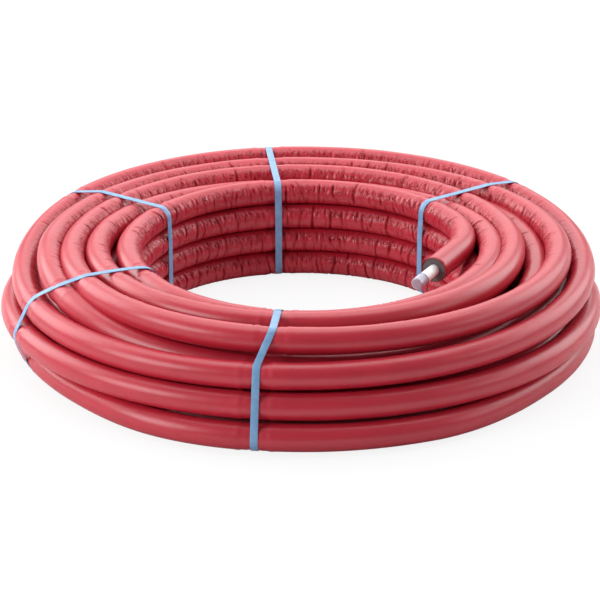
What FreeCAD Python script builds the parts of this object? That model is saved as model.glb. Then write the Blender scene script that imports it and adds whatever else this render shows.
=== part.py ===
"""Coil of insulated multilayer pipe: a 16 mm pipe in 10 mm of foam under a red film.

Fifty metres of it are wound in four layers, lie flat on the floor and are held by
five flat straps. The last turn of the top layer bends off the coil into its hole
and ends in a bare stretch of pipe under a cap.

Millimetres, +Z up. The origin is on the floor at the coil's axis. Lengths are
driven by the sheet; the outline of the coil's section and the place of its free
end are worked out from the same values.
"""
import FreeCAD, Part
import math
import os

import Sketcher

Vector = FreeCAD.Vector

LAYERS = 4
TURNS_PER_LAYER = 6

SIZES = {
    "pipe_diameter": 16.0,
    "pipe_wall": 2.0,
    "insulation_thickness": 10.0,
    "film_slack": 0.8,          # how far the loose film stands off the foam
    "inner_turn_radius": 240.0,  # from the axis to the middle of the innermost turns
    "turn_squeeze": 3.2,        # how much neighbours in a layer press into each other
    "layer_squeeze": 0.8,       # the same between two layers
    "floor_squash": 0.5,        # how much the lowest turns flatten on the floor
    "layer_step": 6.0,          # how far each layer ends inside the one below it
    "strap_width": 10.0,
    "strap_thickness": 0.8,
    "end_start_angle": 25.0,    # where the last turn leaves the coil, about +Z from +X
    "end_bend_radius": 137.0,
    "end_bend_angle": 51.6,
    "end_straight": 75.0,
    "end_drop_angle": 1.5,      # how steeply the free end sinks, with nothing under it
    "bare_length": 58.0,        # pipe that shows past the foam, cap and all
    "buried_length": 40.0,      # pipe that is modelled inside the foam
    "cap_length": 21.0,
    "cap_wall": 0.6,
}
STRAP_ANGLES = {
    "strap_back_right": 39.0,
    "strap_back": 97.5,
    "strap_back_left": 147.5,
    "strap_front_left": 206.0,
    "strap_front": 263.0,
}

doc = FreeCAD.newDocument("insulated_pipe_coil")
sheet = doc.addObject("Spreadsheet::Sheet", "sheet")
for row, (alias, value) in enumerate(SIZES.items(), start=1):
    sheet.set(f"A{row}", alias)
    sheet.set(f"B{row}", str(value))
    sheet.setAlias(f"B{row}", alias)
doc.recompute()


def size(alias):
    """A driving size, read back from the sheet."""
    return float(getattr(sheet, alias))


# The same lengths twice: as an expression for the model to follow, and as a number
# for the first drawing of each sketch.
TURN_RADIUS = "(sheet.pipe_diameter / 2 + sheet.insulation_thickness + sheet.film_slack)"
turn_radius = size("pipe_diameter") / 2 + size("insulation_thickness") + size("film_slack")
foam_radius = turn_radius - size("film_slack")
turn_pitch = 2 * turn_radius - size("turn_squeeze")
layer_pitch = 2 * turn_radius - size("layer_squeeze")


def layer_height(layer):
    """Expression and number for the height of a layer's centres, 0 the lowest."""
    text = f"({TURN_RADIUS} - sheet.floor_squash + {layer} * (2 * {TURN_RADIUS} - sheet.layer_squeeze))"
    return text, turn_radius - size("floor_squash") + layer * layer_pitch


def turn_place(turn, layer):
    """Expression and number for the radius of a turn's centre, turn 0 innermost."""
    share = turn / (TURNS_PER_LAYER - 1)
    full_width = f"{TURNS_PER_LAYER - 1} * (2 * {TURN_RADIUS} - sheet.turn_squeeze)"
    text = f"(sheet.inner_turn_radius + {share} * ({full_width} - {layer} * sheet.layer_step))"
    width = (TURNS_PER_LAYER - 1) * turn_pitch - layer * size("layer_step")
    return text, size("inner_turn_radius") + share * width


def origin_plane(body, role):
    return next(item for item in body.Origin.OriginFeatures if item.Role == role)


def new_body(name):
    body = doc.addObject("PartDesign::Body", name)
    body.Label = name
    return body


def new_sketch(body, name, plane):
    sketch = body.newObject("Sketcher::SketchObject", name)
    sketch.AttachmentSupport = [(origin_plane(body, plane), "")]
    sketch.MapMode = "FlatFace"
    return sketch


def bind(sketch, constraint, alias, expression):
    """Adds a named size to a sketch and ties it to the sheet."""
    index = sketch.addConstraint(constraint)
    sketch.renameConstraint(index, alias)
    sketch.setExpression(f"Constraints.{alias}", expression)


def arc_geometry(centre, radius, start, end):
    """An arc drawn anticlockwise from one point to another."""
    start_angle = math.atan2(start.y - centre.y, start.x - centre.x)
    end_angle = math.atan2(end.y - centre.y, end.x - centre.x)
    if end_angle <= start_angle:
        end_angle += 2 * math.pi
    circle = Part.Circle(centre, Vector(0, 0, 1), radius)
    return Part.ArcOfCircle(circle, start_angle, end_angle)


def outer_crossing(first, second, radius):
    """Where two equal circles meet on the right-hand side of the way between them."""
    way = second - first
    half = way.Length / 2
    right = Vector(way.y, -way.x, 0).normalize()
    return first + way / 2 + right * math.sqrt(radius**2 - half**2)


def rim_turns():
    """The (turn, layer) pairs round the section, anticlockwise from the lowest inner one."""
    last_turn = TURNS_PER_LAYER - 1
    top = LAYERS - 1
    rim = [(turn, 0) for turn in range(TURNS_PER_LAYER)]
    rim += [(last_turn, layer) for layer in range(1, LAYERS)]
    rim += [(turn, top) for turn in range(last_turn - 1, -1, -1)]
    rim += [(0, layer) for layer in range(top - 1, 0, -1)]
    return rim


def make_turned_coil():
    """The wound part of the coil: one turned solid with a scallop for each outer turn."""
    body = new_body("turned_coil")
    sketch = new_sketch(body, "coil_section", "XZ_Plane")
    rim = rim_turns()
    centres = [Vector(turn_place(turn, layer)[1], layer_height(layer)[1], 0) for turn, layer in rim]
    count = len(rim)
    meetings = [outer_crossing(centres[i], centres[(i + 1) % count], turn_radius) for i in range(count)]
    for i, centre in enumerate(centres):
        sketch.addGeometry(arc_geometry(centre, turn_radius, meetings[i - 1], meetings[i]), False)
    for i in range(count):
        sketch.addConstraint(Sketcher.Constraint("Coincident", i, 2, (i + 1) % count, 1))
        if i:
            sketch.addConstraint(Sketcher.Constraint("Equal", 0, i))
    bind(sketch, Sketcher.Constraint("Radius", 0, turn_radius), "turn_radius", TURN_RADIUS)
    for i, (turn, layer) in enumerate(rim):
        across, up = turn_place(turn, layer), layer_height(layer)
        bind(sketch, Sketcher.Constraint("DistanceX", -1, 1, i, 3, across[1]), f"across_{i}", across[0])
        bind(sketch, Sketcher.Constraint("DistanceY", -1, 1, i, 3, up[1]), f"up_{i}", up[0])
    revolution = body.newObject("PartDesign::Revolution", "coil_turning")
    revolution.Profile = sketch
    revolution.ReferenceAxis = (sketch, ["V_Axis"])
    revolution.Angle = 360.0
    sketch.Visibility = False
    return body


def end_frame():
    """The frame of the free end: x along the pipe as it leaves the coil, y away from the axis."""
    angle = size("end_start_angle")
    radius = size("inner_turn_radius")
    place = Vector(radius * math.cos(math.radians(angle)), radius * math.sin(math.radians(angle)),
                   layer_height(LAYERS - 1)[1])
    yaw = FreeCAD.Rotation(Vector(0, 0, 1), angle - 90)
    drop = FreeCAD.Rotation(Vector(0, 1, 0), size("end_drop_angle"))
    return FreeCAD.Placement(place, yaw * drop)


def cut_frame():
    """The frame of the cut in the foam: z along the pipe, pointing out of the cut."""
    bend, angle = size("end_bend_radius"), math.radians(size("end_bend_angle"))
    straight = size("end_straight")
    place = Vector(bend * math.sin(angle) + straight * math.cos(angle),
                   -bend * (1 - math.cos(angle)) - straight * math.sin(angle), 0)
    along = FreeCAD.Rotation(Vector(0, 0, 1), Vector(math.cos(angle), -math.sin(angle), 0))
    return end_frame() * FreeCAD.Placement(place, along)


def make_free_end():
    """The foam-covered end of the last turn: a bend off the coil, then a straight."""
    body = new_body("free_end")
    bend, angle = size("end_bend_radius"), math.radians(size("end_bend_angle"))
    straight = size("end_straight")
    path = new_sketch(body, "end_path", "XY_Plane")
    start = Vector(0, 0, 0)
    bend_end = Vector(bend * math.sin(angle), -bend * (1 - math.cos(angle)), 0)
    tip = bend_end + Vector(math.cos(angle), -math.sin(angle), 0) * straight
    path.addGeometry(arc_geometry(Vector(0, -bend, 0), bend, bend_end, start), False)
    path.addGeometry(Part.LineSegment(bend_end, tip), False)
    path.addConstraint(Sketcher.Constraint("Coincident", 0, 2, -1, 1))
    path.addConstraint(Sketcher.Constraint("PointOnObject", 0, 3, -2))
    path.addConstraint(Sketcher.Constraint("Tangent", 0, 1, 1, 1))
    bind(path, Sketcher.Constraint("Radius", 0, bend), "bend", "sheet.end_bend_radius")
    bind(path, Sketcher.Constraint("Distance", 1, straight), "straight", "sheet.end_straight")
    drop = bend * (1 - math.cos(angle))
    bind(path, Sketcher.Constraint("DistanceY", 0, 1, -1, 1, drop), "drop",
         "sheet.end_bend_radius * (1 - cos(sheet.end_bend_angle * 1deg))")
    profile = new_sketch(body, "end_profile", "YZ_Plane")
    profile.addGeometry(Part.Circle(start, Vector(0, 0, 1), foam_radius), False)
    profile.addConstraint(Sketcher.Constraint("Coincident", 0, 3, -1, 1))
    bind(profile, Sketcher.Constraint("Radius", 0, foam_radius), "foam",
         "sheet.pipe_diameter / 2 + sheet.insulation_thickness")
    pipe = body.newObject("PartDesign::AdditivePipe", "end_sweep")
    pipe.Profile = profile
    pipe.Spine = path
    body.Placement = end_frame()
    return body


def strap_loop(sketch, first, radius_text, radius, floor_text, floor):
    """One closed line round the section: four arcs about the corner turns, cut off at the floor.

    first is the index of the loop's first edge, and floor the height of its lowest line.
    """
    last_turn, top = TURNS_PER_LAYER - 1, LAYERS - 1
    corners = [(0, 0), (last_turn, 0), (last_turn, top), (0, top)]
    centres = [Vector(turn_place(*corner)[1], layer_height(corner[1])[1], 0) for corner in corners]
    side = centres[2] - centres[1]
    outward = Vector(side.y, -side.x, 0).normalize()
    reach = math.sqrt(radius**2 - (centres[0].y - floor) ** 2)
    inner_floor = Vector(centres[0].x - reach, floor, 0)
    outer_floor = Vector(centres[1].x + reach, floor, 0)
    inner_low, outer_low = centres[0] - Vector(radius, 0, 0), centres[1] + outward * radius
    outer_high, inner_high = centres[2] + outward * radius, centres[3] - Vector(radius, 0, 0)
    outer_top, inner_top = centres[2] + Vector(0, radius, 0), centres[3] + Vector(0, radius, 0)
    edges = [
        Part.LineSegment(inner_floor, outer_floor),
        arc_geometry(centres[1], radius, outer_floor, outer_low),
        Part.LineSegment(outer_low, outer_high),
        arc_geometry(centres[2], radius, outer_high, outer_top),
        Part.LineSegment(outer_top, inner_top),
        arc_geometry(centres[3], radius, inner_top, inner_high),
        Part.LineSegment(inner_high, inner_low),
        arc_geometry(centres[0], radius, inner_low, inner_floor),
    ]
    for edge in edges:
        sketch.addGeometry(edge, False)
    floor_line, arcs = first, [first + 7, first + 1, first + 3, first + 5]
    sketch.addConstraint(Sketcher.Constraint("Coincident", floor_line, 2, first + 1, 1))
    sketch.addConstraint(Sketcher.Constraint("Coincident", floor_line, 1, first + 7, 2))
    sketch.addConstraint(Sketcher.Constraint("Horizontal", floor_line))
    for edge in range(first + 1, first + 7):
        sketch.addConstraint(Sketcher.Constraint("Tangent", edge, 2, edge + 1, 1))
    for arc in arcs[1:]:
        sketch.addConstraint(Sketcher.Constraint("Equal", arcs[0], arc))
    bind(sketch, Sketcher.Constraint("Radius", arcs[0], radius), f"round_{first}", radius_text)
    if floor:
        height = Sketcher.Constraint("DistanceY", -1, 1, floor_line, 1, floor)
        bind(sketch, height, f"floor_{first}", floor_text)
    else:
        sketch.addConstraint(Sketcher.Constraint("PointOnObject", floor_line, 1, -1))
    for number, (arc, corner) in enumerate(zip(arcs, corners)):
        across, up = turn_place(*corner), layer_height(corner[1])
        bind(sketch, Sketcher.Constraint("DistanceX", -1, 1, arc, 3, across[1]),
             f"across_{first}_{number}", across[0])
        bind(sketch, Sketcher.Constraint("DistanceY", -1, 1, arc, 3, up[1]), f"up_{first}_{number}", up[0])


def make_strap(name, angle):
    """A flat band pulled tight round the section, its lower run pressed into the foam."""
    body = new_body(name)
    sketch = new_sketch(body, f"{name}_loop", "XZ_Plane")
    thickness = size("strap_thickness")
    strap_loop(sketch, 0, f"{TURN_RADIUS} + sheet.strap_thickness", turn_radius + thickness, "", 0)
    strap_loop(sketch, 8, TURN_RADIUS, turn_radius, "sheet.strap_thickness", thickness)
    pad = body.newObject("PartDesign::Pad", f"{name}_band")
    pad.Profile = sketch
    pad.setExpression("Length", "sheet.strap_width")
    pad.Midplane = True
    body.Placement = FreeCAD.Placement(Vector(0, 0, 0), FreeCAD.Rotation(Vector(0, 0, 1), angle))
    return body


def make_cylinder(name, radius, height, placement=None):
    cylinder = doc.addObject("Part::Cylinder", name)
    cylinder.setExpression("Radius", radius)
    cylinder.setExpression("Height", height)
    if placement is not None:
        cylinder.Placement = placement
    return cylinder


def make_cut(name, base, tool):
    cut = doc.addObject("Part::Cut", name)
    cut.Label = name
    cut.Base = base
    cut.Tool = tool
    return cut


def make_pipe_end():
    """The multilayer pipe where it shows, with the stretch of it that the foam still covers."""
    length = "sheet.bare_length + sheet.buried_length"
    wall = make_cylinder("pipe_wall_solid", "sheet.pipe_diameter / 2", length)
    bore = make_cylinder("pipe_bore_solid", "sheet.pipe_diameter / 2 - sheet.pipe_wall", length)
    return make_cut("pipe_end", wall, bore)


def make_end_cap():
    """A cup over the pipe's end."""
    shell = make_cylinder("cap_shell", "sheet.pipe_diameter / 2 + sheet.cap_wall",
                          "sheet.cap_length")
    hollow = make_cylinder("cap_hollow", "sheet.pipe_diameter / 2",
                           "sheet.cap_length - sheet.cap_wall")
    return make_cut("end_cap", shell, hollow)


turned_coil = make_turned_coil()
free_end = make_free_end()
straps = [make_strap(name, angle) for name, angle in STRAP_ANGLES.items()]
doc.recompute()

pipe_start = cut_frame() * FreeCAD.Placement(Vector(0, 0, -size("buried_length")), FreeCAD.Rotation())
pipe_length = size("buried_length") + size("bare_length")
cap_start = pipe_start * FreeCAD.Placement(
    Vector(0, 0, pipe_length + size("cap_wall") - size("cap_length")), FreeCAD.Rotation())
pipe_end = make_pipe_end()
pipe_end.Placement = pipe_start
end_cap = make_end_cap()
end_cap.Placement = cap_start

wound_pipe = doc.addObject("Part::MultiFuse", "wound_pipe")
wound_pipe.Shapes = [turned_coil, free_end]
outside = f"{turn_place(TURNS_PER_LAYER, 0)[0]} + {TURN_RADIUS}"
floor_block = make_cylinder("floor_block", outside, TURN_RADIUS,
                            FreeCAD.Placement(Vector(0, 0, -turn_radius), FreeCAD.Rotation()))
pipe_core = make_cylinder("pipe_core", "sheet.pipe_diameter / 2",
                          "sheet.bare_length + sheet.buried_length", pipe_start)
on_floor = make_cut("coil_on_floor", wound_pipe, floor_block)
bitten = on_floor
for strap in straps:
    bitten = make_cut(f"coil_under_{strap.Label}", bitten, strap)
coil = make_cut("coil", bitten, pipe_core)
doc.recompute()

for item in doc.Objects:
    if "Invalid" in item.State or "Error" in item.State:
        raise RuntimeError(f"{item.Name} failed: {item.State}")

os.makedirs("parts", exist_ok=True)
for piece in [coil, pipe_end, end_cap] + straps:
    shape = piece.Shape
    if shape.isNull() or not shape.isValid() or len(shape.Solids) != 1:
        raise RuntimeError(f"{piece.Label} is not one sound solid")
    shape.exportStep(f"parts/{piece.Label}.step")
    box = shape.BoundBox
    print(f"{piece.Label}: {shape.Volume / 1000:.1f} cm3, x {box.XMin:.1f} to {box.XMax:.1f}, "
          f"y {box.YMin:.1f} to {box.YMax:.1f}, z {box.ZMin:.2f} to {box.ZMax:.2f}")
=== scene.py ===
"""A coil of insulated pipe: white multilayer pipe in dark foam under a wrinkled red film.

The turns are tubes laid along listed tracks: one long wound length on top that ends
in the free end, and closed turns for the layers under it. All lengths are in metres.
"""
import math

import bmesh
import bpy
import numpy as np
from mathutils import Matrix, Vector


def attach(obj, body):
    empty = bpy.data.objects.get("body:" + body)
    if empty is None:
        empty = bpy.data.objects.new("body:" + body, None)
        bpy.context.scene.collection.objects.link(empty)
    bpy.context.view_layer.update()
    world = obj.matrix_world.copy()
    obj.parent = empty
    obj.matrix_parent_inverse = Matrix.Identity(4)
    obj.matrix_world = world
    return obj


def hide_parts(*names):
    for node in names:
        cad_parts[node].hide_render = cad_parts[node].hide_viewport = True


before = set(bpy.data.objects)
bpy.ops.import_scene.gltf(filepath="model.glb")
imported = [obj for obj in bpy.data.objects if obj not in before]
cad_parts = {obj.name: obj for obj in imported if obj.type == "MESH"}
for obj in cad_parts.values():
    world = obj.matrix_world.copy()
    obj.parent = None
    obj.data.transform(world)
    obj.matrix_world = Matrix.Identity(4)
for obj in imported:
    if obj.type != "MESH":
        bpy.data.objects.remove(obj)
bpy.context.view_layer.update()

# ---------------------------------------------------------------- sizes

CAD_TURN = 0.0188           # radius that a turn takes up in the coil
FILM = 0.0181               # radius of the film where it lies smooth
FOAM = 0.0173               # radius of the foam inside it
PIPE = 0.0080               # radius of the white pipe
STRAP_BED = 0.0174          # radius to which a strap pulls a turn in
LOW = CAD_TURN - 0.0005     # height of the lowest turns' centres
LAYER = 2 * CAD_TURN - 0.0008
HEIGHTS = [LOW + LAYER * layer for layer in range(4)]
INNER = 0.240               # radius of the innermost turns
STEP = 0.0026               # spacing of the rings that make a tube that shows
PLAIN_STEP = 0.012          # the same for a hidden one

END_START = math.radians(25.0)
END_BEND = 0.137
END_TURN = math.radians(51.6)
END_STRAIGHT = 0.075
END_DROP = math.radians(1.5)
BARE = 0.058
CAP_LENGTH = 0.021

# Angle of each strap round the coil, its sideways lean for each metre outward, and how far
# it slips sideways as it goes over the shoulder of the coil.
STRAPS = {
    "strap_back_right": (38.7, 0.0, 0.0),
    "strap_back": (97.8, -0.045, 0.0),
    "strap_back_left": (147.5, -0.085, 0.0),
    "strap_front_left": (206.0, 0.0, 0.050),
    "strap_front": (262.8, 0.03, 0.018),
}
LEAN_CENTRE = 0.33          # radius at which a strap has not leaned
SHOULDER = (0.108, 0.147)   # heights between which it slips
SLIP_END = 0.390            # radius by which it has slipped, under the coil
STRAP_WIDTH = 0.010
STRAP_THICKNESS = 0.0008

# ---------------------------------------------------------------- tracks of the turns

# Each track lists (quarter turns anticlockwise from the right, radius, height).
Z0, Z1, Z2, Z3 = HEIGHTS
TOP_TRACK = [
    (0, 0.240, Z3), (1, 0.245, Z3), (2, 0.243, Z3), (3, 0.268, 0.117),
    (4, 0.268, 0.125), (5, 0.282, 0.116), (6, 0.287, Z3), (7, 0.300, 0.128),
    (8, 0.297, Z3), (9, 0.318, Z3), (10, 0.322, Z3), (11, 0.354, 0.128),
    (12, 0.361, Z3), (13, 0.354, Z3), (14, 0.354, Z3), (14.3, 0.357, 0.114),
    (14.6, 0.350, 0.094), (15, 0.345, 0.087), (15.5, 0.344, 0.093), (15.8, 0.334, 0.107),
    (16, 0.329, 0.112), (17, 0.372, 0.099), (18, 0.358, 0.089), (19, 0.345, 0.080),
]
TOP_QUARTERS = 18.4         # where the wound length on top goes out of sight
RINGS = {
    "outer_turn_upper": [(0, 0.396, 0.107), (0.45, 0.404, 0.124), (1, 0.409, Z3), (1.6, 0.403, 0.120),
                         (2, 0.392, 0.096), (3, 0.385, 0.092)],
    "outer_turn_third": [(0, 0.372, 0.080), (1, 0.405, Z2), (1.6, 0.394, 0.086), (2, 0.325, Z2),
                         (3, 0.308, 0.086)],
    "outer_turn_second": [(0, 0.406, Z1), (1, 0.404, Z1), (2, 0.408, Z1), (3, 0.397, Z1)],
    "outer_turn_lowest": [(0, 0.400, Z0), (1, 0.411, Z0), (2, 0.396, Z0), (2.2, 0.390, Z0),
                          (2.45, 0.393, Z0), (2.7, 0.409, Z0), (3, 0.412, Z0), (3.3, 0.412, Z0),
                          (3.6, 0.395, Z0), (3.8, 0.395, Z0)],
}
for name, height in (("third", Z2), ("second", Z1), ("lowest", Z0)):
    RINGS[f"inner_turn_{name}"] = [(quarter, INNER, height) for quarter in range(4)]
for column in range(1, 4):
    RINGS[f"base_turn_{column}"] = [(quarter, INNER + (radius - INNER) * column / 4, Z0)
                                    for quarter, radius, height in RINGS["outer_turn_lowest"]]
HIDDEN = [(0.275, 0.052), (0.309, 0.052), (0.343, 0.052), (0.374, 0.052), (0.276, 0.086)]


def curve(stations, t):
    """Smooth curve through stations (place, value, value) at the places t."""
    stations = np.asarray(stations, float)
    place, values = stations[:, 0], stations[:, 1:]
    slope = np.gradient(values, place, axis=0)
    i = np.clip(np.searchsorted(place, t, side="right") - 1, 0, len(place) - 2)
    span = (place[i + 1] - place[i])[:, None]
    f = (t - place[i])[:, None] / span
    return (values[i] * (1 + 2 * f) * (1 - f) ** 2 + slope[i] * span * f * (1 - f) ** 2
            + values[i + 1] * f * f * (3 - 2 * f) + slope[i + 1] * span * f * f * (f - 1))


def wobble(rng, angle, size, waves=5):
    """A slow random waver round the coil."""
    total = np.zeros_like(angle)
    for wave in range(2, 2 + waves):
        total += rng.normal() * np.sin(wave * angle + rng.uniform(0, 6.28)) / wave
    return size * total


def ring_points(stations, rng, count=720):
    """Centreline of a closed turn, last point over the first."""
    t = np.linspace(0, 4, count + 1)
    round_again = [(quarter + lap, *rest) for lap in (-4, 0, 4) for quarter, *rest in stations]
    track = curve(round_again, t)
    track[:, 1] = np.clip(track[:, 1], Z0, Z3)
    angle = t * math.pi / 2
    radius = np.minimum(track[:, 0] + wobble(rng, angle, 0.0008), 0.412)
    return np.stack([radius * np.cos(angle), radius * np.sin(angle), track[:, 1]], 1)


def end_points():
    """Centreline of the free end from the cut in the foam back to where it leaves the coil."""
    straight = np.linspace(END_STRAIGHT, 0, 30)[:-1]
    turn = np.linspace(END_TURN, 0, 60)
    along = np.concatenate([END_BEND * math.sin(END_TURN) + straight * math.cos(END_TURN),
                            END_BEND * np.sin(turn)])
    inward = np.concatenate([END_BEND * (1 - math.cos(END_TURN)) + straight * math.sin(END_TURN),
                             END_BEND * (1 - np.cos(turn))])
    out = np.array([math.cos(END_START), math.sin(END_START), 0])
    ahead = np.array([math.sin(END_START), -math.cos(END_START), 0]) * math.cos(END_DROP)
    ahead[2] = -math.sin(END_DROP)
    start = out * INNER + np.array([0, 0, Z3])
    return start + along[:, None] * ahead - inward[:, None] * out


def top_points(rng):
    """Centreline of the wound length on top, from the cut at the free end."""
    first = END_START / (math.pi / 2)
    t = np.linspace(first, TOP_QUARTERS, 3200)
    track = curve(TOP_TRACK, t)
    angle = t * math.pi / 2
    track[:, 1] = np.minimum(track[:, 1], Z3)
    join = np.exp(-(t - first) * 3)
    radius = track[:, 0] + (INNER - track[0, 0]) * join + wobble(rng, angle, 0.0008) * (1 - join)
    wound = np.stack([radius * np.cos(angle), radius * np.sin(angle), track[:, 1]], 1)
    return np.concatenate([end_points()[:-1], wound])


def resample(points, step, fine_length=0.0, fine_step=0.0):
    """The same line with points about a step apart, and the distance of each along it.

    The first fine_length of it can have a finer step.
    """
    lengths = np.concatenate([[0], np.cumsum(np.linalg.norm(np.diff(points, axis=0), axis=1))])
    count = int(round((lengths[-1] - fine_length) / step))
    s = np.linspace(fine_length, lengths[-1], count + 1)
    if fine_length:
        s = np.concatenate([np.arange(0, fine_length, fine_step), s])
    return np.stack([np.interp(s, lengths, points[:, k]) for k in range(3)], 1), s


# ---------------------------------------------------------------- wrinkles

def smooth(low, high, x):
    f = np.clip((x - low) / (high - low), 0, 1)
    return f * f * (3 - 2 * f)


def patchy(rng, s, phi, along, around):
    """Smooth noise over a tube's length and girth; along is its grain in metres."""
    rows = int(s[-1] / along) + 3
    grid = rng.normal(size=(rows, around))
    x = s / along
    i = x.astype(int)
    f = smooth(0, 1, x - i)[:, None]
    lines = grid[i] * (1 - f) + grid[i + 1] * f
    y = (phi / (2 * math.pi)) % 1 * around
    j = y.astype(int) % around
    g = smooth(0, 1, y - np.floor(y))[None, :]
    return lines[:, j] * (1 - g) + lines[:, (j + 1) % around] * g


def add_folds(rng, s, phi, depth_map, gap, depth, width, low, high, slant):
    """Narrow folds across a tube, at random gaps. low and high give where they start and end."""
    place = rng.uniform(0, gap[0])
    while place < s[-1]:
        w = rng.uniform(*width)
        reach = 4 * w + 3 * slant
        lean = rng.normal() * slant
        rows = np.arange(np.searchsorted(s, place - reach), np.searchsorted(s, place + reach))
        start, stop = rng.uniform(*low), rng.uniform(*high)
        bow = rng.normal() * 0.4 * slant
        ds = s[rows][:, None] - place - lean * phi[None, :] - bow * phi[None, :] ** 2
        window = smooth(start - 0.22, start + 0.12, phi) * (1 - smooth(stop - 0.12, stop + 0.22, phi))
        groove = np.exp(-(ds / w) ** 2) - 0.32 * np.exp(-((np.abs(ds) - 2.4 * w) / (1.3 * w)) ** 2)
        depth_map[rows] += rng.uniform(*depth) * groove * window[None, :]
        place += rng.uniform(*gap)


def wrinkle(rng, points, s, phi, deep):
    """How far the film stands in from its smooth radius, and how deep in a fold each point is.

    phi is 0 towards the coil's axis and a quarter turn at the top. deep is how much a turn
    wrinkles: about 1 on the tight inner turns, less on the wide ones.
    """
    folds = np.zeros((len(s), len(phi)))
    add_folds(rng, s, phi, folds, (0.014, 0.034), (0.5 * deep, 1.4 * deep), (0.0011, 0.0022),
              (-1.9, -0.2), (0.3, 1.5), 0.0035)
    add_folds(rng, s, phi, folds, (0.005, 0.014), (0.3 * deep, 1.1 * deep), (0.0013, 0.0022),
              (0.1, 0.5), (0.6, 0.95), 0.0030)
    add_folds(rng, s, phi, folds, (0.009, 0.026), (0.3 * deep, 0.8 * deep), (0.0010, 0.0018),
              (-1.4, -0.8), (-0.4, 0.2), 0.0030)
    inner = smooth(0.30, 0.95, np.cos(phi - 0.25))[None, :]
    swell = patchy(rng, s, phi, 0.017, 9) * inner * 0.28 * deep
    swell = swell + patchy(rng, s, phi, 0.075, 14) * 0.14
    fold = folds - swell
    return fold * 0.001, np.clip(folds, 0, 1.6)


def strap_shift(radius, height, lean, slip):
    """How far round the coil a strap lies from its stated angle at a radius and height."""
    up = np.clip((height - SHOULDER[0]) / (SHOULDER[1] - SHOULDER[0]), 0, 1)
    inside = np.clip((SLIP_END - radius) / (SLIP_END - INNER), 0, 1)
    return lean * (radius - LEAN_CENTRE) + slip * (np.maximum(up, inside) - 0.6)


def strap_pinch(points):
    """How far the straps pull a turn in at each point of its line."""
    angle = np.arctan2(points[:, 1], points[:, 0])
    radius = np.hypot(points[:, 0], points[:, 1])
    pinch = np.zeros(len(points))
    for degrees, lean, slip in STRAPS.values():
        away = (angle - math.radians(degrees) + math.pi) % (2 * math.pi) - math.pi
        away = np.abs(away * radius - strap_shift(radius, points[:, 2] + FILM, lean, slip))
        pinch += (FILM - STRAP_BED + 0.0003) * np.exp(-(away / 0.010) ** 4)
        pinch += 0.0006 * np.exp(-((away - 0.015) / 0.003) ** 2)
        pinch -= 0.0004 * np.exp(-((away - 0.021) / 0.004) ** 2)
    return pinch


# ---------------------------------------------------------------- tubes

def flat_film(steps, sides):
    """The film laid out flat: steps along x and sides along y, each from -1 to 1."""
    bm = bmesh.new()
    bmesh.ops.create_grid(bm, x_segments=steps, y_segments=sides, size=1.0)
    return bm


def lay_tube(name, points, rng, step=STEP, sides=28, closed=True, deep=1.0, plain=False, fine=(0.0, 0.0)):
    """A tube laid along a line of points and wrinkled, as a finished object."""
    points, s = resample(points, step, *fine)
    steps = len(s) - 1
    bm = flat_film(steps, sides)
    mesh = bpy.data.meshes.new(name)
    bm.to_mesh(mesh)
    bm.free()
    co = np.zeros(len(mesh.vertices) * 3)
    mesh.vertices.foreach_get("co", co)
    co = co.reshape(-1, 3)
    row = np.rint((co[:, 0] + 1) / 2 * steps).astype(int)
    edge = np.rint((co[:, 1] + 1) / 2 * sides).astype(int)
    side = edge % sides
    phi = -math.pi / 2 + np.arange(sides) * 2 * math.pi / sides

    if closed:
        tangent = np.roll(points[:-1], -1, 0) - np.roll(points[:-1], 1, 0)
        tangent = np.concatenate([tangent, tangent[:1]])
    else:
        tangent = np.gradient(points, axis=0)
    tangent /= np.linalg.norm(tangent, axis=1)[:, None]
    inward = np.stack([-tangent[:, 1], tangent[:, 0], np.zeros(len(points))], 1)
    inward /= np.linalg.norm(inward, axis=1)[:, None]
    upward = np.cross(inward, tangent) * -1

    radius = np.full((steps + 1, sides), FILM)
    fold = np.zeros((steps + 1, sides))
    if not plain:
        depth, fold = wrinkle(rng, points, s, phi, deep)
        if closed:
            fade = (1 - smooth(0, 0.01, s[-1] - s))[:, None]
            depth = depth * (1 - fade) + depth[:1] * fade
            fold = fold * (1 - fade) + fold[:1] * fade
        radius = np.minimum(radius - depth - strap_pinch(points)[:, None], CAD_TURN - 0.0001)
    else:
        radius = radius - 0.0014
    if not closed and not plain:
        tuck_in(points, radius)

    at = points[row]
    r = radius[row, side][:, None]
    co = at + r * (np.cos(phi[side])[:, None] * inward[row] + np.sin(phi[side])[:, None] * upward[row])
    co[:, 2] = np.maximum(co[:, 2], 0.0)
    mesh.vertices.foreach_set("co", co.ravel())

    # How deep in a fold each point is; the film's colour paints shade from it.
    store(mesh, "fold", fold[row, side])
    store(mesh, "inside", np.cos(phi[side] - 0.25))
    # Where nicks may lie along the top inner edge; they get painted shade and a bump.
    nicked = smooth(0.05, 0.45, phi) * (1 - smooth(0.75, 1.05, phi))
    store(mesh, "nicked", nicked[side] * (0.0 if plain else 1.0))
    lay_uv(mesh, s[row], edge / sides)
    return finish_tube(name, mesh, closed)


def tuck_in(points, radius):
    """Folds the film round the foam's edge at the cut, on the tube's first three rings."""
    ahead = points[0] - points[3]
    ahead /= np.linalg.norm(ahead)
    points[2] = points[0]
    points[1] = points[0]
    points[0] = points[2] - ahead * 0.004
    radius[2] = radius[3]
    radius[1] = FOAM + 0.0002
    radius[0] = FOAM + 0.0002


def store(mesh, name, values):
    attribute = mesh.attributes.new(name, "FLOAT", "POINT")
    attribute.data.foreach_set("value", values.astype(np.float32))


def lay_uv(mesh, along, around):
    """UV in metres along the tube and in turns round it, with the seam underneath."""
    corners = np.zeros(len(mesh.loops), int)
    mesh.loops.foreach_get("vertex_index", corners)
    uv = np.stack([along[corners], around[corners]], 1)
    layer = mesh.uv_layers.new(name="film")
    layer.data.foreach_set("uv", uv.astype(np.float32).ravel())


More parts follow.
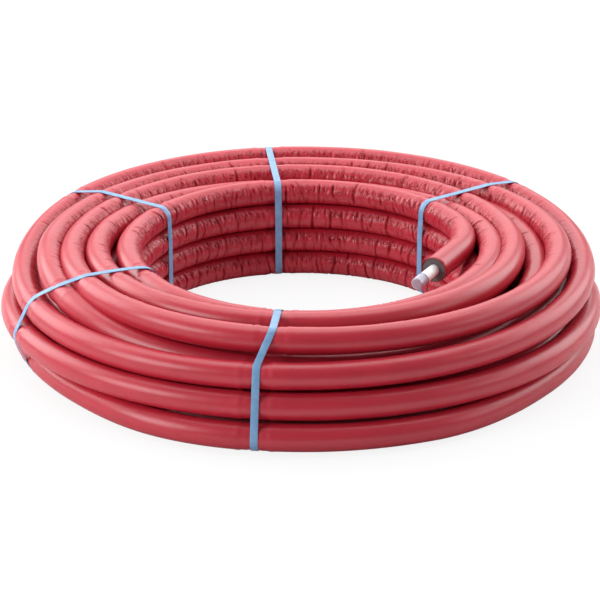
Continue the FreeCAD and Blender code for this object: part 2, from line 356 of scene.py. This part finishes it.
def finish_tube(name, mesh, closed):
    bm = bmesh.new()
    bm.from_mesh(mesh)
    bmesh.ops.remove_doubles(bm, verts=bm.verts[:], dist=1e-6)
    if not closed:
        far = [e for e in bm.edges if e.is_boundary]
        bmesh.ops.holes_fill(bm, edges=far, sides=0)
    bmesh.ops.recalc_face_normals(bm, faces=bm.faces[:])
    bm.to_mesh(mesh)
    bm.free()
    mesh.polygons.foreach_set("use_smooth", np.ones(len(mesh.polygons), bool))
    mesh.update()
    piece = bpy.data.objects.new(name, mesh)
    bpy.context.scene.collection.objects.link(piece)
    return piece


# ---------------------------------------------------------------- materials

def new_material(name):
    material = bpy.data.materials.new(name)
    material.use_nodes = True
    nodes = material.node_tree.nodes
    return material, nodes, material.node_tree.links, nodes["Principled BSDF"]


def colour_ramp(nodes, stops):
    ramp = nodes.new("ShaderNodeValToRGB")
    elements = ramp.color_ramp.elements
    while len(elements) < len(stops):
        elements.new(0.5)
    for element, (place, colour) in zip(elements, stops):
        element.position = place
        element.color = (*colour, 1)
    return ramp


def math_node(nodes, links, operation, first, second):
    """A Math node. Each input is another node's output or a number."""
    node = nodes.new("ShaderNodeMath")
    node.operation = operation
    for socket, value in zip(node.inputs, (first, second)):
        if isinstance(value, (int, float)):
            socket.default_value = value
        else:
            links.new(value, socket)
    return node.outputs[0]


def ranged(nodes, links, value, source, target):
    """A value taken from the range source to the range target."""
    node = nodes.new("ShaderNodeMapRange")
    node.inputs["From Min"].default_value = source[0]
    node.inputs["From Max"].default_value = source[1]
    node.inputs["To Min"].default_value = target[0]
    node.inputs["To Max"].default_value = target[1]
    links.new(value, node.inputs["Value"])
    return node.outputs["Result"]


def stored(nodes, name):
    node = nodes.new("ShaderNodeAttribute")
    node.attribute_name = name
    return node.outputs["Fac"]


def film_texture(nodes, links, kind, scale):
    """A texture stretched along (metres) and round (turns) the tube."""
    coordinates = nodes.new("ShaderNodeTexCoord")
    stretch = nodes.new("ShaderNodeMapping")
    stretch.inputs["Scale"].default_value = (*scale, 1.0)
    links.new(coordinates.outputs["UV"], stretch.inputs["Vector"])
    texture = nodes.new(kind)
    texture.inputs["Scale"].default_value = 1.0
    links.new(stretch.outputs["Vector"], texture.inputs["Vector"])
    return texture


def add_bump(nodes, links, height, strength, distance, under=None):
    node = nodes.new("ShaderNodeBump")
    node.inputs["Distance"].default_value = distance
    if isinstance(strength, float):
        node.inputs["Strength"].default_value = strength
    else:
        links.new(strength, node.inputs["Strength"])
    links.new(height, node.inputs["Height"])
    if under is not None:
        links.new(under, node.inputs["Normal"])
    return node


def film_nicks(nodes, links):
    """Short nicks across the top inner edge of a turn, where shade is painted: 1 in a nick and 0
    elsewhere.
    """
    contour = film_texture(nodes, links, "ShaderNodeTexNoise", (150.0, 5.0))
    contour.inputs["Detail"].default_value = 2.0
    middle = math_node(nodes, links, "SUBTRACT", contour.outputs["Fac"], 0.5)
    off_line = math_node(nodes, links, "ABSOLUTE", middle, 0.0)
    line = ranged(nodes, links, off_line, (0.0, 0.024), (1.0, 0.0))
    return math_node(nodes, links, "MULTIPLY", line, stored(nodes, "nicked"))


def film_colour(nodes, links, cloud, fold, nick):
    """Red, with painted shade darkening it in the folds and nicks, and a faint cloudiness."""
    # Painted shade: the colour runs to dark red as the fold value grows, standing in for the shade in the
    # folds.
    ramp = colour_ramp(nodes, [(0.0, (0.48, 0.016, 0.036)), (0.5, (0.37, 0.009, 0.021)),
                               (1.0, (0.16, 0.003, 0.008))])
    links.new(fold, ramp.inputs["Fac"])
    shade = colour_ramp(nodes, [(0.3, (0.72, 0.72, 0.72)), (0.7, (1.0, 1.0, 1.0))])
    links.new(cloud, shade.inputs["Fac"])
    tint = nodes.new("ShaderNodeMix")
    tint.data_type = "RGBA"
    tint.blend_type = "MULTIPLY"
    tint.inputs["Factor"].default_value = 0.35
    links.new(ramp.outputs["Color"], tint.inputs["A"])
    links.new(shade.outputs["Color"], tint.inputs["B"])
    # Painted shade in the nicks: the colour is mixed to dark red where a nick lies.
    nick_shade = nodes.new("ShaderNodeMix")
    nick_shade.data_type = "RGBA"
    nick_shade.inputs["B"].default_value = (0.17, 0.003, 0.009, 1)
    links.new(nick, nick_shade.inputs["Factor"])
    links.new(tint.outputs["Result"], nick_shade.inputs["A"])
    return nick_shade.outputs["Result"]


def film_relief(nodes, links, nick):
    """Fine crinkles, flat facets between creases, and nicks. Strong only inside a turn's bend."""
    loose = ranged(nodes, links, stored(nodes, "inside"), (0.45, 0.95), (0.04, 0.50))
    crinkle = film_texture(nodes, links, "ShaderNodeTexNoise", (260.0, 14.0))
    crinkle.inputs["Detail"].default_value = 4.0
    fine = add_bump(nodes, links, crinkle.outputs["Fac"], loose, 0.0012)
    crease = film_texture(nodes, links, "ShaderNodeTexVoronoi", (85.0, 4.5))
    crease.feature = "DISTANCE_TO_EDGE"
    facets = ranged(nodes, links, crease.outputs["Distance"], (0.0, 0.25), (0.0, 1.0))
    creased = add_bump(nodes, links, facets, loose, 0.0016, fine.outputs["Normal"])
    nicked = add_bump(nodes, links, nick, 0.8, 0.0012, creased.outputs["Normal"])
    nicked.invert = True
    return nicked.outputs["Normal"]


def film_material():
    """Thin red film: satin gloss, dull in its folds with painted shade there, crinkled where it is loose.
    """
    material, nodes, links, shader = new_material("red_film")
    coordinates = nodes.new("ShaderNodeTexCoord")
    cloud = nodes.new("ShaderNodeTexNoise")
    cloud.inputs["Scale"].default_value = 22.0
    cloud.inputs["Detail"].default_value = 3.0
    links.new(coordinates.outputs["Object"], cloud.inputs["Vector"])
    fold = stored(nodes, "fold")
    nick = film_nicks(nodes, links)
    in_fold = math_node(nodes, links, "MAXIMUM", nick, fold)
    colour = film_colour(nodes, links, cloud.outputs["Fac"], fold, nick)
    roughness = ranged(nodes, links, cloud.outputs["Fac"], (0.0, 1.0), (0.30, 0.44))
    shine = ranged(nodes, links, in_fold, (0.0, 0.8), (0.52, 0.08))
    links.new(colour, shader.inputs["Base Color"])
    links.new(roughness, shader.inputs["Roughness"])
    links.new(shine, shader.inputs["Specular IOR Level"])
    links.new(film_relief(nodes, links, nick), shader.inputs["Normal"])
    shader.inputs["IOR"].default_value = 1.52
    shader.inputs["Coat Weight"].default_value = 0.06
    shader.inputs["Coat Roughness"].default_value = 0.18
    return material


def foam_material():
    material, nodes, links, shader = new_material("grey_foam")
    coordinates = nodes.new("ShaderNodeTexCoord")
    cells = nodes.new("ShaderNodeTexVoronoi")
    cells.inputs["Scale"].default_value = 900.0
    links.new(coordinates.outputs["Object"], cells.inputs["Vector"])
    ramp = colour_ramp(nodes, [(0.0, (0.07, 0.06, 0.06)), (1.0, (0.20, 0.17, 0.17))])
    links.new(cells.outputs["Distance"], ramp.inputs["Fac"])
    links.new(ramp.outputs["Color"], shader.inputs["Base Color"])
    shader.inputs["Roughness"].default_value = 0.9
    bump = nodes.new("ShaderNodeBump")
    bump.inputs["Strength"].default_value = 0.7
    bump.inputs["Distance"].default_value = 0.0008
    links.new(cells.outputs["Distance"], bump.inputs["Height"])
    links.new(bump.outputs["Normal"], shader.inputs["Normal"])
    return material


def pipe_material():
    material, nodes, links, shader = new_material("white_pipe")
    coordinates = nodes.new("ShaderNodeTexCoord")
    scuff = nodes.new("ShaderNodeTexNoise")
    scuff.inputs["Scale"].default_value = 160.0
    scuff.inputs["Detail"].default_value = 5.0
    links.new(coordinates.outputs["Object"], scuff.inputs["Vector"])
    ramp = colour_ramp(nodes, [(0.35, (0.74, 0.74, 0.73)), (0.65, (0.82, 0.82, 0.81))])
    links.new(scuff.outputs["Fac"], ramp.inputs["Fac"])
    links.new(ramp.outputs["Color"], shader.inputs["Base Color"])
    shader.inputs["Roughness"].default_value = 0.36
    bump = nodes.new("ShaderNodeBump")
    bump.inputs["Strength"].default_value = 0.08
    bump.inputs["Distance"].default_value = 0.0005
    links.new(scuff.outputs["Fac"], bump.inputs["Height"])
    links.new(bump.outputs["Normal"], shader.inputs["Normal"])
    return material


def cap_material():
    material, nodes, links, shader = new_material("lilac_cap")
    coordinates = nodes.new("ShaderNodeTexCoord")
    cloud = nodes.new("ShaderNodeTexNoise")
    cloud.inputs["Scale"].default_value = 120.0
    links.new(coordinates.outputs["Object"], cloud.inputs["Vector"])
    ramp = colour_ramp(nodes, [(0.3, (0.60, 0.59, 0.72)), (0.7, (0.70, 0.69, 0.80))])
    links.new(cloud.outputs["Fac"], ramp.inputs["Fac"])
    rim = nodes.new("ShaderNodeAttribute")
    rim.attribute_name = "rim"
    edged = nodes.new("ShaderNodeMix")
    edged.data_type = "RGBA"
    edged.inputs["B"].default_value = (0.16, 0.08, 0.26, 1)
    links.new(rim.outputs["Fac"], edged.inputs["Factor"])
    links.new(ramp.outputs["Color"], edged.inputs["A"])
    links.new(edged.outputs["Result"], shader.inputs["Base Color"])
    shader.inputs["Roughness"].default_value = 0.28
    shader.inputs["Transmission Weight"].default_value = 0.35
    shader.inputs["IOR"].default_value = 1.5
    return material


def strap_material():
    """Light blue band, embossed with a fine cell pattern."""
    material, nodes, links, shader = new_material("blue_strap")
    coordinates = nodes.new("ShaderNodeTexCoord")
    cloud = nodes.new("ShaderNodeTexNoise")
    cloud.inputs["Scale"].default_value = 90.0
    cloud.inputs["Detail"].default_value = 4.0
    links.new(coordinates.outputs["Object"], cloud.inputs["Vector"])
    ramp = colour_ramp(nodes, [(0.3, (0.14, 0.28, 0.50)), (0.7, (0.20, 0.38, 0.60))])
    links.new(cloud.outputs["Fac"], ramp.inputs["Fac"])
    links.new(ramp.outputs["Color"], shader.inputs["Base Color"])
    shader.inputs["Roughness"].default_value = 0.38
    emboss = nodes.new("ShaderNodeTexVoronoi")
    emboss.inputs["Scale"].default_value = 700.0
    links.new(coordinates.outputs["Object"], emboss.inputs["Vector"])
    bump = nodes.new("ShaderNodeBump")
    bump.inputs["Strength"].default_value = 0.25
    bump.inputs["Distance"].default_value = 0.0004
    links.new(emboss.outputs["Distance"], bump.inputs["Height"])
    links.new(bump.outputs["Normal"], shader.inputs["Normal"])
    return material


def dress(piece, material):
    piece.data.materials.clear()
    piece.data.materials.append(material)
    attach(piece, "root")
    return piece


# ---------------------------------------------------------------- the coil

def make_coil(material):
    """Every turn, and the list of their centrelines."""
    rng = np.random.default_rng(16)
    lines = []
    top = top_points(rng)
    lines.append(top)
    tube = lay_tube("top_turns", top, rng, step=0.0030, sides=28, closed=False, fine=(2.2, 0.0018))
    piece = dress(tube, material)
    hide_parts("coil")
    for name, stations in RINGS.items():
        points = ring_points(stations, rng)
        lines.append(points)
        base = name.startswith("base")
        inner = name.startswith("inner")
        step = 0.006 if base else (0.0018 if inner else STEP)
        deep = 1.0 if inner else 0.6
        dress(lay_tube(name, points, rng, step=step, sides=16 if base else 26, deep=deep), material)
    for number, (radius, height) in enumerate(HIDDEN, start=1):
        points = ring_points([(quarter, radius, height) for quarter in range(4)], rng)
        dress(lay_tube(f"hidden_turn_{number}", points, rng, step=PLAIN_STEP, sides=12, plain=True),
              material)
    return lines


def cut_frame():
    """Where the foam is cut: the middle of the cut, and the way the pipe points out of it."""
    points = end_points()
    ahead = Vector(points[0] - points[5]).normalized()
    return Vector(points[0]), ahead


def turned_about(name, outline, place, ahead, segments=64):
    """A piece turned about the pipe's line. outline lists (radius, distance past the cut)."""
    bm = bmesh.new()
    corners = [bm.verts.new((radius, 0, along)) for radius, along in outline]
    edges = [bm.edges.new(pair) for pair in zip(corners, corners[1:] + corners[:1])]
    bmesh.ops.spin(bm, geom=corners + edges, cent=(0, 0, 0), axis=(0, 0, 1), angle=2 * math.pi,
                   steps=segments, use_merge=True)
    bmesh.ops.remove_doubles(bm, verts=bm.verts[:], dist=1e-6)
    bmesh.ops.recalc_face_normals(bm, faces=bm.faces[:])
    turn = ahead.to_track_quat("Z", "Y").to_matrix().to_4x4()
    bmesh.ops.transform(bm, matrix=Matrix.Translation(place) @ turn, verts=bm.verts[:])
    mesh = bpy.data.meshes.new(name)
    bm.to_mesh(mesh)
    bm.free()
    piece = bpy.data.objects.new(name, mesh)
    bpy.context.scene.collection.objects.link(piece)
    return piece


def soften(piece, width, angle=35.0, segments=3):
    bevel = piece.modifiers.new("edges", "BEVEL")
    bevel.width = width
    bevel.segments = segments
    bevel.limit_method = "ANGLE"
    bevel.angle_limit = math.radians(angle)
    for polygon in piece.data.polygons:
        polygon.use_smooth = True


def make_end(foam, pipe, cap):
    """The cut foam, the bare pipe and its cap."""
    place, ahead = cut_frame()
    face = turned_about("foam_face", [(PIPE + 0.0002, -0.012), (FOAM, -0.012), (FOAM, -0.0006),
                                      (FOAM - 0.003, -0.0003), (PIPE + 0.003, -0.0004),
                                      (PIPE + 0.0002, -0.0008)], place, ahead)
    dress(face, foam)
    soften(face, 0.0004)
    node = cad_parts["pipe_end"]
    node.data.materials.clear()
    node.data.materials.append(pipe)
    inner = PIPE + 0.00005
    outer = inner + 0.0005
    lip = outer + 0.0004
    back = BARE - CAP_LENGTH + 0.0006
    tip = BARE + 0.0006
    cup = turned_about("pipe_cap", [(inner, back), (lip, back), (lip, back + 0.0016),
                                    (outer, back + 0.0022), (outer, tip - 0.0016),
                                    (inner - 0.0012, tip), (0.0, tip), (0.0, tip - 0.0005),
                                    (inner, tip - 0.0005)], place, ahead)
    past_cut = np.array([(corner.co - place).dot(ahead) for corner in cup.data.vertices])
    store(cup.data, "rim", (past_cut < back + 0.0018).astype(float))
    dress(cup, cap)
    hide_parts("end_cap")
    soften(cup, 0.0003)


# ---------------------------------------------------------------- straps

def section_at(lines, angle):
    """Centres of all the turns that cross the half plane at this angle, as (radius, height)."""
    out = np.array([math.cos(angle), math.sin(angle)])
    side = np.array([-out[1], out[0]])
    centres = []
    for points in lines:
        across = points[:, :2] @ side
        radial = points[:, :2] @ out
        crossings = np.nonzero((across[:-1] * across[1:] <= 0) & (radial[:-1] > 0.1))[0]
        for i in crossings:
            f = across[i] / (across[i] - across[i + 1] + 1e-12)
            centres.append((radial[i] + f * (radial[i + 1] - radial[i]),
                            points[i, 2] + f * (points[i + 1, 2] - points[i, 2])))
    return np.array(centres)


def taut_outline(centres, radius):
    """The line of a band pulled tight round circles of this radius, cut off at the floor."""
    outline = []
    for turn in np.arange(0, 2 * math.pi, math.radians(4)):
        way = np.array([math.cos(turn), math.sin(turn)])
        point = centres[np.argmax(centres @ way)] + radius * way
        outline.append((point[0], max(point[1], 0.0)))
    even = []
    for a, b in zip(outline, outline[1:] + outline[:1]):
        gap = math.dist(a, b)
        if gap < 1e-5:
            continue
        pieces = max(1, int(gap / 0.008))
        for k in range(pieces):
            share = k / pieces
            even.append((a[0] + (b[0] - a[0]) * share, a[1] + (b[1] - a[1]) * share))
    return even


def make_straps(lines, material):
    for name, (degrees, lean, slip) in STRAPS.items():
        angle = math.radians(degrees)
        outline = taut_outline(section_at(lines, angle), STRAP_BED)
        bm = bmesh.new()
        corners = [bm.verts.new((radius, -STRAP_WIDTH / 2, height)) for radius, height in outline]
        edges = [bm.edges.new(pair) for pair in zip(corners, corners[1:] + corners[:1])]
        wide = bmesh.ops.extrude_edge_only(bm, edges=edges)["geom"]
        far_side = [part for part in wide if isinstance(part, bmesh.types.BMVert)]
        bmesh.ops.translate(bm, vec=(0, STRAP_WIDTH, 0), verts=far_side)
        bmesh.ops.recalc_face_normals(bm, faces=bm.faces[:])
        for corner in bm.verts:
            round_by = strap_shift(corner.co.x, corner.co.z, lean, slip) / corner.co.x
            corner.co.rotate(Matrix.Rotation(round_by, 3, "Z"))
        bmesh.ops.rotate(bm, verts=bm.verts[:], cent=(0, 0, 0), matrix=Matrix.Rotation(angle, 3, "Z"))
        mesh = bpy.data.meshes.new(name + "_band")
        bm.to_mesh(mesh)
        bm.free()
        band = bpy.data.objects.new(name + "_band", mesh)
        bpy.context.scene.collection.objects.link(band)
        thick = band.modifiers.new("thickness", "SOLIDIFY")
        thick.thickness = STRAP_THICKNESS
        thick.offset = 1.0
        soften(band, 0.0002, segments=2)
        dress(band, material)
        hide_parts(name)


# ---------------------------------------------------------------- studio

def make_floor():
    bm = bmesh.new()
    bmesh.ops.create_grid(bm, x_segments=1, y_segments=1, size=12.0)
    mesh = bpy.data.meshes.new("floor")
    bm.to_mesh(mesh)
    bm.free()
    floor = bpy.data.objects.new("floor", mesh)
    bpy.context.scene.collection.objects.link(floor)
    material, nodes, links, shader = new_material("floor_white")
    nodes.remove(shader)
    diffuse = nodes.new("ShaderNodeBsdfDiffuse")
    diffuse.inputs["Color"].default_value = (0.85, 0.85, 0.85, 1)
    glow = nodes.new("ShaderNodeEmission")
    path = nodes.new("ShaderNodeLightPath")
    share = nodes.new("ShaderNodeMath")
    share.operation = "MULTIPLY"
    share.inputs[1].default_value = 0.86
    mix = nodes.new("ShaderNodeMixShader")
    links.new(path.outputs["Is Camera Ray"], share.inputs[0])
    links.new(share.outputs[0], mix.inputs["Fac"])
    links.new(diffuse.outputs[0], mix.inputs[1])
    links.new(glow.outputs[0], mix.inputs[2])
    links.new(mix.outputs[0], nodes["Material Output"].inputs["Surface"])
    mesh.materials.append(material)


def area_light(name, place, target, size, power, colour=(1, 1, 1)):
    lamp = bpy.data.lights.new(name, "AREA")
    lamp.shape = "RECTANGLE"
    lamp.size, lamp.size_y = size
    lamp.energy = power
    lamp.color = colour
    light = bpy.data.objects.new(name, lamp)
    light.location = place
    light.rotation_euler = (Vector(target) - Vector(place)).to_track_quat("-Z", "Y").to_euler()
    bpy.context.scene.collection.objects.link(light)


def make_studio():
    world = bpy.data.worlds.new("studio")
    bpy.context.scene.world = world
    world.use_nodes = True
    nodes = world.node_tree.nodes
    links = world.node_tree.links
    background = nodes["Background"]
    background.inputs["Color"].default_value = (1, 1, 1, 1)
    path = nodes.new("ShaderNodeLightPath")
    mirrored = nodes.new("ShaderNodeMath")
    mirrored.operation = "MULTIPLY"
    mirrored.inputs[1].default_value = 0.12
    links.new(path.outputs["Is Glossy Ray"], mirrored.inputs[0])
    seen = nodes.new("ShaderNodeMath")
    seen.operation = "MAXIMUM"
    links.new(path.outputs["Is Camera Ray"], seen.inputs[0])
    links.new(mirrored.outputs[0], seen.inputs[1])
    strength = nodes.new("ShaderNodeMapRange")
    strength.inputs["To Min"].default_value = 0.26
    strength.inputs["To Max"].default_value = 1.0
    links.new(seen.outputs[0], strength.inputs["Value"])
    links.new(strength.outputs["Result"], background.inputs["Strength"])
    area_light("overhead", (0.0, 0.5, 2.0), (0, 0, 0.1), (2.4, 1.4), 30.0)
    area_light("behind", (0.0, 3.2, 1.9), (0, 0, 0.1), (3.2, 2.4), 46.0)
    area_light("behind_left", (-3.0, 1.9, 1.9), (0, 0, 0.1), (3.0, 2.6), 116.0)
    area_light("behind_right", (3.0, 1.9, 1.9), (0, 0, 0.1), (3.0, 2.6), 88.0)
    area_light("left", (-2.4, -1.3, 1.3), (0, 0, 0.1), (1.6, 1.2), 45.0)
    area_light("right", (2.2, -0.6, 1.1), (0, 0, 0.1), (1.0, 0.8), 6.0)


def make_camera():
    camera = bpy.data.cameras.new("camera")
    camera.lens = 147.33
    camera.sensor_width = 36.0
    camera.shift_y = -0.0024
    view = bpy.data.objects.new("camera", camera)
    view.location = (-0.0028, -3.2656, 1.3090)
    view.rotation_euler = (math.radians(90 - 21.086), 0, 0)
    bpy.context.scene.collection.objects.link(view)
    bpy.context.scene.camera = view
    bpy.context.scene.view_settings.view_transform = "Standard"


film = film_material()
strap = strap_material()
centrelines = make_coil(film)
make_end(foam_material(), pipe_material(), cap_material())
make_straps(centrelines, strap)
make_floor()
make_studio()
make_camera()
